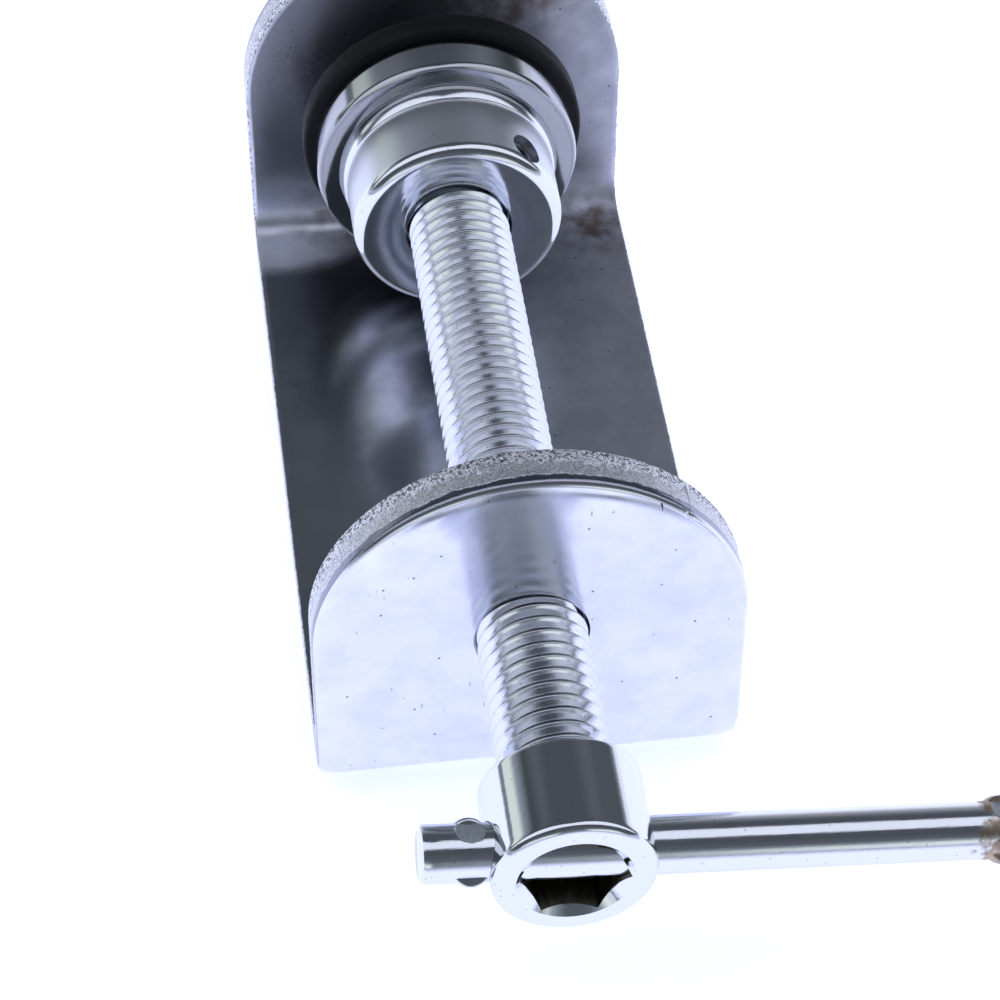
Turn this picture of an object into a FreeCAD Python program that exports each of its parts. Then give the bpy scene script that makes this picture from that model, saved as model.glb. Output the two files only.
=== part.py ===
import FreeCAD, Part
import math
import os
import Sketcher

# A screw clamp for the edge of a table: a bracket bent from flat steel strip, a clamp
# screw with a sliding tommy bar through its head, and a swivel pad on the screw's end.
#
# Frame, in millimetres: the origin is the middle of the outside of the bracket's web,
# +Y runs along the screw from its head to its pad, +X is to the right and +Z points
# from the web to the free ends of the arms. The near arm carries the screw and the far
# arm is the fixed jaw. The screw axis is parallel to Y at the height AXIS_Z.

SIZES = [
    # alias, value, meaning
    ("strip_width", 46.5, "width of the flat steel strip"),
    ("strip_thickness", 5.0, "thickness of the strip"),
    ("bend_inner_radius", 3.0, "inner radius of the two bends"),
    ("bracket_length", 94.5, "over the outsides of both arms"),
    ("edge_break", 0.4, "chamfer along the punched outline of the strip"),
    ("bore_chamfer", 0.6, "chamfer at both mouths of the bracket bore"),
    ("rim_clearance", 0.25, "rim of the rubber face above the top of the inner bends"),
    ("jaw_gap", 6.5, "opening between the rubber face and the far arm at rest"),
    ("head_standoff", 20.5, "outside of the near arm to the back of the head at rest"),
    ("screw_diameter", 11.9, "over the thread crests of the M12 screw"),
    ("screw_clearance", 0.05, "radial gap between screw and bracket bore"),
    ("thread_depth", 0.9, "from the thread crests down to its roots"),
    ("thread_end_chamfer", 0.9, "chamfer where the thread ends at the journal"),
    ("head_diameter", 17.0, "diameter of the cylindrical head"),
    ("head_length", 11.5, "length of the head"),
    ("head_chamfer", 0.9, "chamfer round the front of the head"),
    ("head_back_chamfer", 0.3, "chamfer round the back of the head"),
    ("socket_flats", 10.0, "across flats of the hexagon socket"),
    ("socket_depth", 6.0, "depth of the hexagon socket"),
    ("socket_countersink", 0.8, "depth and width of the socket's countersink"),
    ("bar_diameter", 6.0, "diameter of the tommy bar"),
    ("bar_clearance", 0.08, "radial gap between bar and cross hole"),
    ("bar_wall", 0.92, "metal between the cross hole and the front of the head"),
    ("bar_length", 65.0, "length of the tommy bar"),
    ("bar_chamfer", 0.4, "chamfer at the bar's ends"),
    ("bar_tilt", 5.6, "degrees that the bar leans down to the right at rest"),
    ("ear_setback", 5.0, "middle of an ear to the nearer end of the bar"),
    ("ear_height", 0.65, "how far an ear stands out of the bar"),
    ("ear_radius", 2.0, "radius of an ear's rounded outline"),
    ("ear_thickness", 3.0, "thickness of an ear, across the punches"),
    ("ear_chamfer", 0.6, "chamfer round an ear's two faces"),
    ("ear_gap", 0.3, "gap between the left ears and the head at rest"),
    ("punch_depth", 0.45, "depth of the punch marks that raise the ears"),
    ("punch_radius", 3.2, "radius of the punch marks"),
    ("journal_step", 0.95, "radial step from the thread crests down to the journal"),
    ("journal_clearance", 0.05, "radial gap between journal and pad bore"),
    ("journal_tip_chamfer", 2.0, "chamfer round the tip that pushes the pad"),
    ("tip_gap", 0.3, "gap between the tip and the floor of the pad bore"),
    ("groove_depth", 1.0, "depth of the retaining groove in the journal"),
    ("groove_land", 0.5, "journal between the thread's end and the groove"),
    ("thread_in_boss", 1.2, "how far the thread runs into the pad"),
    ("mouth_clearance", 0.3, "radial gap round the thread at the pad's mouth"),
    ("mouth_margin", 0.3, "mouth's depth past the thread's end"),
    ("boss_diameter", 24.9, "diameter of the pad's boss"),
    ("boss_length", 11.2, "boss, from its front to the flange"),
    ("boss_chamfer", 1.0, "chamfer round the front of the boss"),
    ("bead_height", 0.75, "how far the bead at the boss's root stands out of it"),
    ("bead_width", 2.1, "width of the bead"),
    ("bead_chamfer", 0.5, "chamfer round the bead's front edge"),
    ("flange_step", 2.55, "radial step from the bead out to the flange"),
    ("flange_thickness", 5.4, "thickness of the flange"),
    ("flange_chamfer", 0.7, "chamfer round the front of the flange"),
    ("floor_thickness", 3.2, "metal between the pad bore's floor and the rubber face"),
    ("grub_diameter", 4.0, "diameter of the retaining grub screw"),
    ("grub_clearance", 0.05, "radial gap between grub screw and its hole"),
    ("grub_angle", 43.0, "degrees from the top of the pad to the grub screw"),
    ("grub_recess", 1.0, "outer end of the grub screw below the boss"),
    ("grub_seat_gap", 0.35, "grub screw's shoulder clear of the journal"),
    ("grub_chamfer", 0.4, "chamfer at both ends of the grub screw's thread"),
    ("dog_diameter", 2.4, "diameter of the grub screw's dog point"),
    ("dog_gap", 0.3, "gap from the dog point to the groove's floor and sides"),
    ("grub_socket_flats", 2.0, "across flats of the grub screw's socket"),
    ("grub_socket_depth", 2.4, "depth of the grub screw's socket"),
    ("face_overhang", 1.25, "radial overhang of the rubber face past the flange"),
    ("face_thickness", 3.0, "thickness of the rubber face"),
    ("face_chamfer", 0.5, "chamfer round both edges of the rubber face"),
]

document = FreeCAD.newDocument("table_clamp")
sheet = document.addObject("Spreadsheet::Sheet", "sizes")
for row, (alias, value, meaning) in enumerate(SIZES, start=1):
    sheet.set(f"A{row}", alias)
    sheet.set(f"B{row}", str(value))
    sheet.set(f"C{row}", meaning)
    sheet.setAlias(f"B{row}", alias)
document.recompute()

# The thread is drawn as rings, one for every second turn of its 1.75 mm pitch, which
# keeps its faces few.
THREAD_RINGS = 24

# Radii that several sub-parts share, as expressions of the sheet's cells.
SCREW_RADIUS = "sizes.screw_diameter / 2"
ROOT_RADIUS = f"({SCREW_RADIUS} - sizes.thread_depth)"
HEAD_RADIUS = "sizes.head_diameter / 2"
BAR_RADIUS = "sizes.bar_diameter / 2"
JOURNAL_RADIUS = f"({SCREW_RADIUS} - sizes.journal_step)"
GROOVE_RADIUS = f"({JOURNAL_RADIUS} - sizes.groove_depth)"
BOSS_RADIUS = "sizes.boss_diameter / 2"
BEAD_RADIUS = f"({BOSS_RADIUS} + sizes.bead_height)"
FLANGE_RADIUS = f"({BEAD_RADIUS} + sizes.flange_step)"
FACE_RADIUS = f"({FLANGE_RADIUS} + sizes.face_overhang)"

# The pad's rim passes over the inner bends, which sets the height of the screw axis.
AXIS_Z = f"(sizes.strip_thickness + sizes.bend_inner_radius + sizes.rim_clearance + {FACE_RADIUS})"
NEAR_ARM_Y = "-sizes.bracket_length / 2"

# Places along Y, measured from the outside of the near arm.
FAR_JAW_Y = "(sizes.bracket_length - sizes.strip_thickness)"
FLANGE_BACK = "(sizes.boss_length + sizes.flange_thickness)"
BOSS_FRONT_Y = f"({FAR_JAW_Y} - sizes.jaw_gap - sizes.face_thickness - {FLANGE_BACK})"
HEAD_BACK_Y = "-sizes.head_standoff"
BAR_INSET = f"(sizes.bar_wall + sizes.bar_clearance + {BAR_RADIUS})"
BAR_Y = f"(-sizes.head_standoff - sizes.head_length + {BAR_INSET})"

# The screw reaches from its head to the pad, and its journal to the pad bore's floor.
THREAD_LENGTH = f"(sizes.head_standoff + {BOSS_FRONT_Y} + sizes.thread_in_boss)"
BORE_DEPTH = f"({FLANGE_BACK} - sizes.floor_thickness)"
JOURNAL_LENGTH = f"({BORE_DEPTH} - sizes.tip_gap - sizes.thread_in_boss)"
GROOVE_WIDTH = "(sizes.dog_diameter + 2 * sizes.dog_gap)"
GRUB_SETBACK = f"(sizes.thread_in_boss + sizes.groove_land + {GROOVE_WIDTH} / 2)"

# An ear reaches half its chord along the bar on each side of its middle.
EAR_SIDE = "(sizes.ear_radius - sizes.ear_height)"
EAR_HALF = f"sqrt(sizes.ear_radius ^ 2 - {EAR_SIDE} ^ 2)"
EAR_OFFSET = "(sizes.bar_length / 2 - sizes.ear_setback)"
# At rest the bar is pushed to the right until its left ears meet the head.
BAR_MIDDLE = f"({EAR_OFFSET} - {EAR_HALF} - sizes.ear_gap - {HEAD_RADIUS})"

subparts = []


def value_of(expression):
    """The number that an expression of the sheet gives now."""
    return float(sheet.evalExpression(expression))


def new_body(label):
    body = document.addObject("PartDesign::Body", label)
    body.Label = label
    document.recompute()
    subparts.append(body)
    return body


def place(body, y_expression, turn_expression=None):
    """Put a body's own Y axis on the screw axis, turned about it; y is measured from
    the outside of the near arm."""
    body.Placement = FreeCAD.Placement(FreeCAD.Vector(0, 0, 0),
                                       FreeCAD.Rotation(FreeCAD.Vector(0, 1, 0), 0))
    body.setExpression("Placement.Base.y", f"{NEAR_ARM_Y} + {y_expression}")
    body.setExpression("Placement.Base.z", AXIS_Z)
    if turn_expression:
        body.setExpression("Placement.Rotation.Angle", turn_expression)


def new_sketch(body, name, role, offset_expression=None):
    """A sketch on one of the body's own origin planes, moved along its normal."""
    sketch = body.newObject("Sketcher::SketchObject", name)
    plane = next(f for f in body.Origin.OriginFeatures if f.Role == role)
    sketch.AttachmentSupport = [(plane, "")]
    sketch.MapMode = "FlatFace"
    if offset_expression:
        sketch.setExpression("AttachmentOffset.Base.z", offset_expression)
    return sketch


def drive(sketch, kind, items, expression):
    """Add a constraint whose value is an expression of the sheet."""
    index = sketch.addConstraint(Sketcher.Constraint(kind, *items, value_of(expression)))
    sketch.setExpression(f"Constraints[{index}]", expression)


def polygon(sketch, corners):
    """A closed outline through corners, each a pair of expressions."""
    points = [FreeCAD.Vector(value_of(u), value_of(v), 0) for u, v in corners]
    count = len(points)
    for i in range(count):
        sketch.addGeometry(Part.LineSegment(points[i], points[(i + 1) % count]))
    for i in range(count):
        sketch.addConstraint(Sketcher.Constraint("Coincident", i, 2, (i + 1) % count, 1))
    for i, (u, v) in enumerate(corners):
        drive(sketch, "DistanceX", (-1, 1, i, 1), u)
        drive(sketch, "DistanceY", (-1, 1, i, 1), v)


def circle(sketch, u, v, radius):
    """A circle with its centre and radius driven by expressions."""
    centre = FreeCAD.Vector(value_of(u), value_of(v), 0)
    index = sketch.addGeometry(Part.Circle(centre, FreeCAD.Vector(0, 0, 1), value_of(radius)))
    drive(sketch, "DistanceX", (-1, 1, index, 3), u)
    drive(sketch, "DistanceY", (-1, 1, index, 3), v)
    drive(sketch, "Radius", (index,), radius)


def hexagon(sketch, flats_expression):
    """A hexagon about the origin with two corners on the sketch's horizontal axis."""
    corners = []
    for i in range(6):
        turn = f"{60 * i} deg"
        reach = f"{flats_expression} / 2 / cos(30 deg)"
        corners.append((f"{reach} * cos({turn})", f"{reach} * sin({turn})"))
    polygon(sketch, corners)


def revolve(body, name, sketch, axis="V_Axis"):
    feature = body.newObject("PartDesign::Revolution", name)
    feature.Profile = sketch
    feature.ReferenceAxis = (sketch, [axis])
    feature.Angle = 360
    document.recompute()
    return feature


def pad(body, name, sketch, length_expression):
    """Pad a sketch on the XZ plane towards +Y, against the plane's normal."""
    feature = body.newObject("PartDesign::Pad", name)
    feature.Profile = sketch
    feature.Reversed = True
    feature.setExpression("Length", length_expression)
    document.recompute()
    return feature


def pocket(body, name, sketch, length_expression=None, symmetric=False, reverse=False):
    """Cut a sketch out of the body, through everything if no length is given."""
    before = body.Shape.Volume
    feature = body.newObject("PartDesign::Pocket", name)
    feature.Profile = sketch
    feature.SideType = "Symmetric" if symmetric else "One side"
    feature.Reversed = reverse
    if length_expression:
        feature.setExpression("Length", length_expression)
    else:
        feature.Type = "ThroughAll"
    document.recompute()
    if not body.Shape.Volume < before:
        raise RuntimeError(f"{body.Label}: {name} cuts nothing")
    return feature


def edges_where(feature, test):
    """Names of the feature's edges for which test(edge) is true."""
    return [f"Edge{i}" for i, edge in enumerate(feature.Shape.Edges, start=1) if test(edge)]


def dress(body, kind, name, feature, edges, property_name, expression):
    """Add a PartDesign fillet or chamfer on the named edges."""
    if not edges:
        raise RuntimeError(f"{body.Label}: {name} finds no edges")
    result = body.newObject(f"PartDesign::{kind}", name)
    result.Base = (feature, edges)
    result.setExpression(property_name, expression)
    document.recompute()
    return result


def near(a, b):
    return abs(a - b) < 1e-6


def is_ring_at(edge, y, radius):
    """True for a full circle about the body's Y axis at y."""
    box = edge.BoundBox
    return near(box.YLength, 0) and near(box.YMin, y) and near(box.XLength, 2 * radius)


def make_bracket():
    """Steel strip with rounded ends, bent into a C, bored for the screw in one arm."""
    body = new_body("c_bracket")
    body.setExpression("Placement.Base.y", NEAR_ARM_Y)
    half = "sizes.strip_width / 2"

    # The strip's rounded end, seen along the screw, drawn as one block.
    sketch = new_sketch(body, "end_outline", "XZ_Plane")
    half_now = value_of(half)
    height_now = value_of(AXIS_Z)
    corners = [(-half_now, height_now), (-half_now, 0), (half_now, 0), (half_now, height_now)]
    points = [FreeCAD.Vector(u, v, 0) for u, v in corners]
    for i in range(3):
        sketch.addGeometry(Part.LineSegment(points[i], points[i + 1]))
    arc_circle = Part.Circle(FreeCAD.Vector(0, height_now, 0), FreeCAD.Vector(0, 0, 1), half_now)
    arc = sketch.addGeometry(Part.ArcOfCircle(arc_circle, 0, math.pi))
    sketch.addConstraint(Sketcher.Constraint("Coincident", 0, 2, 1, 1))
    sketch.addConstraint(Sketcher.Constraint("Coincident", 1, 2, 2, 1))
    sketch.addConstraint(Sketcher.Constraint("Coincident", 2, 2, arc, 1))
    sketch.addConstraint(Sketcher.Constraint("Coincident", arc, 2, 0, 1))
    sketch.addConstraint(Sketcher.Constraint("Vertical", 0))
    sketch.addConstraint(Sketcher.Constraint("Horizontal", 1))
    sketch.addConstraint(Sketcher.Constraint("Vertical", 2))
    drive(sketch, "DistanceX", (-1, 1, 1, 1), f"-{half}")
    drive(sketch, "DistanceX", (-1, 1, 1, 2), half)
    drive(sketch, "DistanceY", (-1, 1, 1, 1), "0")
    for arc_point in (1, 2, 3):
        drive(sketch, "DistanceY", (-1, 1, arc, arc_point), AXIS_Z)
    pad(body, "strip_block", sketch, "sizes.bracket_length")

    # The space between the arms, cut right across and out of the open side.
    inner_low = "sizes.strip_thickness"
    above = f"({AXIS_Z} + sizes.strip_width)"
    throat = new_sketch(body, "throat_outline", "YZ_Plane")
    polygon(throat, [(inner_low, inner_low), (FAR_JAW_Y, inner_low),
                     (FAR_JAW_Y, above), (inner_low, above)])
    cut = pocket(body, "throat", throat, symmetric=True)

    width = value_of("sizes.strip_width")
    thickness = value_of("sizes.strip_thickness")
    length = value_of("sizes.bracket_length")

    def bend_line(z, near_y, far_y):
        """A test for the edges across the strip at height z and either y."""
        def test(edge):
            middle = edge.BoundBox.Center
            at_bend = near(middle.y, near_y) or near(middle.y, far_y)
            return near(edge.BoundBox.XLength, width) and near(middle.z, z) and at_bend
        return test

    inner_lines = edges_where(cut, bend_line(thickness, thickness, length - thickness))
    inner = dress(body, "Fillet", "inner_bends", cut, inner_lines,
                  "Radius", "sizes.bend_inner_radius")
    outer_lines = edges_where(inner, bend_line(0, 0, length))
    outer = dress(body, "Fillet", "outer_bends", inner, outer_lines,
                  "Radius", "sizes.bend_inner_radius + sizes.strip_thickness")

    # The strip's outline is one smooth loop on its outside, so the chamfer on the arms'
    # round ends runs all the way round.
    def outer_end_arc(edge):
        box = edge.BoundBox
        flat = near(box.YMin, box.YMax) and (near(box.YMin, 0) or near(box.YMin, length))
        return flat and near(box.XLength, width) and near(box.ZMin, value_of(AXIS_Z))

    dress(body, "Chamfer", "outline_edge", outer, edges_where(outer, outer_end_arc),
          "Size", "sizes.edge_break")

    bore = new_sketch(body, "bore_outline", "XZ_Plane")
    circle(bore, "0", AXIS_Z, f"{SCREW_RADIUS} + sizes.screw_clearance")
    bored = pocket(body, "screw_bore", bore, "sizes.strip_thickness")
    radius = value_of(f"{SCREW_RADIUS} + sizes.screw_clearance")

    def mouth(edge):
        return is_ring_at(edge, 0, radius) or is_ring_at(edge, thickness, radius)

    dress(body, "Chamfer", "bore_mouths", bored, edges_where(bored, mouth),
          "Size", "sizes.bore_chamfer")


def make_screw():
    """Cap screw with a cross-drilled head, a thread drawn as rings and a grooved
    journal; its origin is the back of the head."""
    body = new_body("clamp_screw")
    place(body, HEAD_BACK_Y, "sizes.bar_tilt")
    front = "-sizes.head_length"
    shoulder = THREAD_LENGTH
    groove_start = f"{shoulder} + sizes.groove_land"
    groove_end = f"{groove_start} + {GROOVE_WIDTH}"
    tip = f"{shoulder} + {JOURNAL_LENGTH}"
    thread_rings = []
    for ring in range(THREAD_RINGS):
        for radius, turn in ((SCREW_RADIUS, ring), (ROOT_RADIUS, ring + 0.5)):
            share = turn / THREAD_RINGS
            thread_rings.append((radius, f"{share:.6f} * ({shoulder} - sizes.thread_end_chamfer)"))

    sketch = new_sketch(body, "turned_outline", "XY_Plane")
    polygon(sketch, [
        ("0", front),
        (f"{HEAD_RADIUS} - sizes.head_chamfer", front),
        (HEAD_RADIUS, f"{front} + sizes.head_chamfer"),
        (HEAD_RADIUS, "-sizes.head_back_chamfer"),
        (f"{HEAD_RADIUS} - sizes.head_back_chamfer", "0"),
        *thread_rings,
        (SCREW_RADIUS, f"{shoulder} - sizes.thread_end_chamfer"),
        (f"{SCREW_RADIUS} - sizes.thread_end_chamfer", shoulder),
        (JOURNAL_RADIUS, shoulder),
        (JOURNAL_RADIUS, groove_start),
        (GROOVE_RADIUS, groove_start),
        (GROOVE_RADIUS, groove_end),
        (JOURNAL_RADIUS, groove_end),
        (JOURNAL_RADIUS, tip),
        ("0", tip),
    ])
    turned = revolve(body, "turned_blank", sketch)

    tip_now = value_of(tip)
    journal_now = value_of(JOURNAL_RADIUS)
    tip_edges = edges_where(turned, lambda edge: is_ring_at(edge, tip_now, journal_now))
    dress(body, "Chamfer", "journal_tip", turned, tip_edges,
          "Size", "sizes.journal_tip_chamfer")

    # The XZ plane's normal is -Y, so an offset of head_length is the head's front face.
    socket = new_sketch(body, "socket_outline", "XZ_Plane", "sizes.head_length")
    hexagon(socket, "sizes.socket_flats")
    pocket(body, "hexagon_socket", socket, "sizes.socket_depth")

    # A cone that opens the socket's mouth to just past the hexagon's corners.
    cone = new_sketch(body, "countersink_outline", "XY_Plane")
    depth = "sizes.socket_countersink"
    flat = "sizes.socket_flats / 2"
    polygon(cone, [("0", front), (f"{flat} + {depth}", front),
                   (flat, f"{front} + {depth}"), ("0", f"{front} + {depth}")])
    before = body.Shape.Volume
    countersink = body.newObject("PartDesign::Groove", "socket_countersink")
    countersink.Profile = cone
    countersink.ReferenceAxis = (cone, ["V_Axis"])
    countersink.Angle = 360
    document.recompute()
    if not body.Shape.Volume < before:
        raise RuntimeError("the countersink cuts nothing")

    cross = new_sketch(body, "cross_hole_outline", "YZ_Plane")
    circle(cross, f"{front} + {BAR_INSET}", "0", f"{BAR_RADIUS} + sizes.bar_clearance")
    pocket(body, "cross_hole", cross, symmetric=True)


def make_bar():
    """Tommy bar along its own X axis, with two staked ears near each end."""
    body = new_body("tommy_bar")
    place(body, BAR_Y, "sizes.bar_tilt")
    left = f"{BAR_MIDDLE} - sizes.bar_length / 2"
    right = f"{BAR_MIDDLE} + sizes.bar_length / 2"
    sketch = new_sketch(body, "bar_outline", "XY_Plane")
    polygon(sketch, [
        (left, "0"),
        (right, "0"),
        (right, f"{BAR_RADIUS} - sizes.bar_chamfer"),
        (f"{right} - sizes.bar_chamfer", BAR_RADIUS),
        (f"{left} + sizes.bar_chamfer", BAR_RADIUS),
        (left, f"{BAR_RADIUS} - sizes.bar_chamfer"),
    ])
    revolve(body, "bar", sketch, "H_Axis")

    for end, sign in (("left", "-"), ("right", "+")):
        ear_x = f"{BAR_MIDDLE} {sign} {EAR_OFFSET}"
        ear_reach = f"({BAR_RADIUS} + sizes.ear_height - sizes.ear_radius)"
        rim = "sizes.ear_radius - sizes.ear_chamfer"
        face = "sizes.ear_thickness / 2"
        side_face = f"{face} - sizes.ear_chamfer"
        # The XZ plane's normal is -Y, so the front ear has the positive offset.
        for side, side_sign in (("front", ""), ("back", "-")):
            ear = new_sketch(body, f"{end}_{side}_ear_outline", "XZ_Plane",
                             f"{side_sign}{ear_reach}")
            ear.setExpression("AttachmentOffset.Base.x", ear_x)
            polygon(ear, [
                ("0", f"-{face}"),
                (rim, f"-{face}"),
                ("sizes.ear_radius", f"-({side_face})"),
                ("sizes.ear_radius", side_face),
                (rim, face),
                ("0", face),
            ])
            revolve(body, f"{end}_{side}_ear", ear)
        for side, side_sign in (("lower", "-"), ("upper", "")):
            mark = new_sketch(body, f"{end}_{side}_punch_outline", "XZ_Plane")
            mark_z = f"{side_sign}({BAR_RADIUS} - sizes.punch_depth + sizes.punch_radius)"
            circle(mark, ear_x, mark_z, "sizes.punch_radius")
            pocket(body, f"{end}_{side}_punch_mark", mark, symmetric=True)


def make_pad_body():
    """Boss and flange turned in one piece; its origin is the middle of the boss's front."""
    body = new_body("pad_body")
    place(body, BOSS_FRONT_Y, "sizes.grub_angle")
    bore = f"{JOURNAL_RADIUS} + sizes.journal_clearance"
    mouth = f"{SCREW_RADIUS} + sizes.mouth_clearance"
    mouth_floor = "sizes.thread_in_boss + sizes.mouth_margin"
    sketch = new_sketch(body, "turned_outline", "XY_Plane")
    polygon(sketch, [
        (mouth, "0"),
        (f"{BOSS_RADIUS} - sizes.boss_chamfer", "0"),
        (BOSS_RADIUS, "sizes.boss_chamfer"),
        (BOSS_RADIUS, "sizes.boss_length - sizes.bead_width"),
        (BEAD_RADIUS, "sizes.boss_length - sizes.bead_width"),
        (BEAD_RADIUS, "sizes.boss_length"),
        (f"{FLANGE_RADIUS} - sizes.flange_chamfer", "sizes.boss_length"),
        (FLANGE_RADIUS, "sizes.boss_length + sizes.flange_chamfer"),
        (FLANGE_RADIUS, FLANGE_BACK),
        ("0", FLANGE_BACK),
        ("0", BORE_DEPTH),
        (bore, BORE_DEPTH),
        (bore, mouth_floor),
        (mouth, mouth_floor),
    ])
    turned = revolve(body, "turned_blank", sketch)
    bead_front = value_of("sizes.boss_length - sizes.bead_width")
    bead_now = value_of(BEAD_RADIUS)
    bead_edges = edges_where(turned, lambda edge: is_ring_at(edge, bead_front, bead_now))
    dress(body, "Chamfer", "bead_edge", turned, bead_edges, "Size", "sizes.bead_chamfer")

    hole = new_sketch(body, "grub_hole_outline", "XY_Plane")
    circle(hole, "0", GRUB_SETBACK, "sizes.grub_diameter / 2 + sizes.grub_clearance")
    pocket(body, "grub_hole", hole, reverse=True)


def make_grub_screw():
    """Headless screw that holds the pad on; its own Z axis is its length."""
    body = new_body("pad_grub_screw")
    place(body, f"{BOSS_FRONT_Y} + {GRUB_SETBACK}", "sizes.grub_angle")
    outer = f"({BOSS_RADIUS} - sizes.grub_recess)"
    shoulder = f"({JOURNAL_RADIUS} + sizes.grub_seat_gap)"
    point = f"({GROOVE_RADIUS} + sizes.dog_gap)"
    radius = "sizes.grub_diameter / 2"
    dog = "sizes.dog_diameter / 2"
    sketch = new_sketch(body, "turned_outline", "XZ_Plane")
    polygon(sketch, [
        ("0", point),
        (dog, point),
        (dog, shoulder),
        (f"{radius} - sizes.grub_chamfer", shoulder),
        (radius, f"{shoulder} + sizes.grub_chamfer"),
        (radius, f"{outer} - sizes.grub_chamfer"),
        (f"{radius} - sizes.grub_chamfer", outer),
        ("0", outer),
    ])
    revolve(body, "turned_blank", sketch)
    socket = new_sketch(body, "socket_outline", "XY_Plane", outer)
    hexagon(socket, "sizes.grub_socket_flats")
    pocket(body, "hexagon_socket", socket, "sizes.grub_socket_depth")


def make_pad_face():
    """Black rubber disc bonded to the back of the flange; its origin is the bond."""
    body = new_body("pad_face")
    place(body, f"{BOSS_FRONT_Y} + {FLANGE_BACK}")
    sketch = new_sketch(body, "face_outline", "XZ_Plane")
    circle(sketch, "0", "0", FACE_RADIUS)
    disc = pad(body, "disc", sketch, "sizes.face_thickness")
    radius_now = value_of(FACE_RADIUS)
    rims = (0.0, value_of("sizes.face_thickness"))
    rim_edges = edges_where(disc, lambda edge: any(is_ring_at(edge, y, radius_now) for y in rims))
    dress(body, "Chamfer", "rim", disc, rim_edges, "Size", "sizes.face_chamfer")


make_bracket()
make_screw()
make_bar()
make_pad_body()
make_grub_screw()
make_pad_face()
document.recompute()

for item in document.Objects:
    if "Invalid" in item.State or "Error" in item.State:
        raise RuntimeError(f"{item.Label} failed: {item.State}")

os.makedirs("parts", exist_ok=True)
for body in subparts:
    shape = body.Shape
    if shape.isNull() or not shape.isValid():
        raise RuntimeError(f"{body.Label} has no valid shape")
    shape.exportStep(f"parts/{body.Label}.step")
    print(f"{body.Label}: {len(shape.Solids)} solid, {shape.Volume:.1f} mm3")
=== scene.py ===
"""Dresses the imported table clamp: a punched and bent strip bracket, a socket head screw with its staked
tommy bar, and a swivel pad with its rubber disc.

Every piece is modelled round the CAD frame and rides on the frame's bodies. Lengths are in metres, as the
scene's are, and MM turns millimetres into them.
"""

import math
from functools import partial

import bmesh
import bpy
from bpy.props import FloatProperty, FloatVectorProperty, IntProperty, PointerProperty
from mathutils import Matrix, Vector


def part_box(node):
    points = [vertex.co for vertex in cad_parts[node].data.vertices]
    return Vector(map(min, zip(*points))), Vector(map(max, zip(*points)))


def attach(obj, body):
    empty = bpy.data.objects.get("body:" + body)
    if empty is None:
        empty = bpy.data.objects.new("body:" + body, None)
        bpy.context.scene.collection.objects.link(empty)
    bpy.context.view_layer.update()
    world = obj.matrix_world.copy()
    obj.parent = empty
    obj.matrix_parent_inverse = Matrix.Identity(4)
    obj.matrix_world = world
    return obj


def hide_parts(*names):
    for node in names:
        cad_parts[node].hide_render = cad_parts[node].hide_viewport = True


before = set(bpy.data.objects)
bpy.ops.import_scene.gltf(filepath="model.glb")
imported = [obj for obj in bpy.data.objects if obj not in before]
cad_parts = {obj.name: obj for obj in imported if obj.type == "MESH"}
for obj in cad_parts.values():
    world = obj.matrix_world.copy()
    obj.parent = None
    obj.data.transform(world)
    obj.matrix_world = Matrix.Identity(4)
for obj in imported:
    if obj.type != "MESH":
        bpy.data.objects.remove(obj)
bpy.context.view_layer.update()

bl_info = {
    "name": "Table Clamp Dressing",
    "version": (1, 0, 0),
    "blender": (4, 5, 0),
    "location": "3D View > Sidebar > Table Clamp",
    "description": "Models the finished pieces of a screw-down table clamp round its packed CAD frame",
    "category": "Add Mesh",
}

MM = 0.001
NEAR = 0.01 * MM  # a point this near to a face, an edge or an axis lies on it
DOUBLE = 0.002 * MM  # vertices this near to each other are merged
PAST = 1 * MM  # how far a cutter stands out of the face that it enters
BRACKET_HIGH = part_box("c_bracket")[1]
TILT = math.radians(5.6)  # how far the screw is turned from where the bar lies level
BAR_AXIS = Vector((math.cos(TILT), 0, -math.sin(TILT)))
GRUB_ANGLE = math.radians(43)  # the pad's radial hole, from straight up towards +X
GRUB_Y = 19.35 * MM  # and where it crosses the screw's axis
ALONG_X, ALONG_Y = (0, math.pi / 2, 0), (math.pi / 2, 0, 0)  # rotations that lay a cylinder down


def linear(hex_colour):
    """An sRGB hex colour as the linear RGBA that a shader's socket takes."""
    parts = [int(hex_colour[i : i + 2], 16) / 255 for i in (1, 3, 5)]
    return (*[p / 12.92 if p <= 0.04045 else ((p + 0.055) / 1.055) ** 2.4 for p in parts], 1.0)


# ---------------------------------------------------------------------------------------------- settings


def length(name, description, default):
    """A length in metres as a property."""
    return FloatProperty(name=name, description=description, default=default, unit="LENGTH", precision=5)


def colour(name, description, hex_colour):
    """A colour as a property."""
    return FloatVectorProperty(
        name=name, description=description, default=linear(hex_colour), size=4, subtype="COLOR", min=0, max=1
    )


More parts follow.
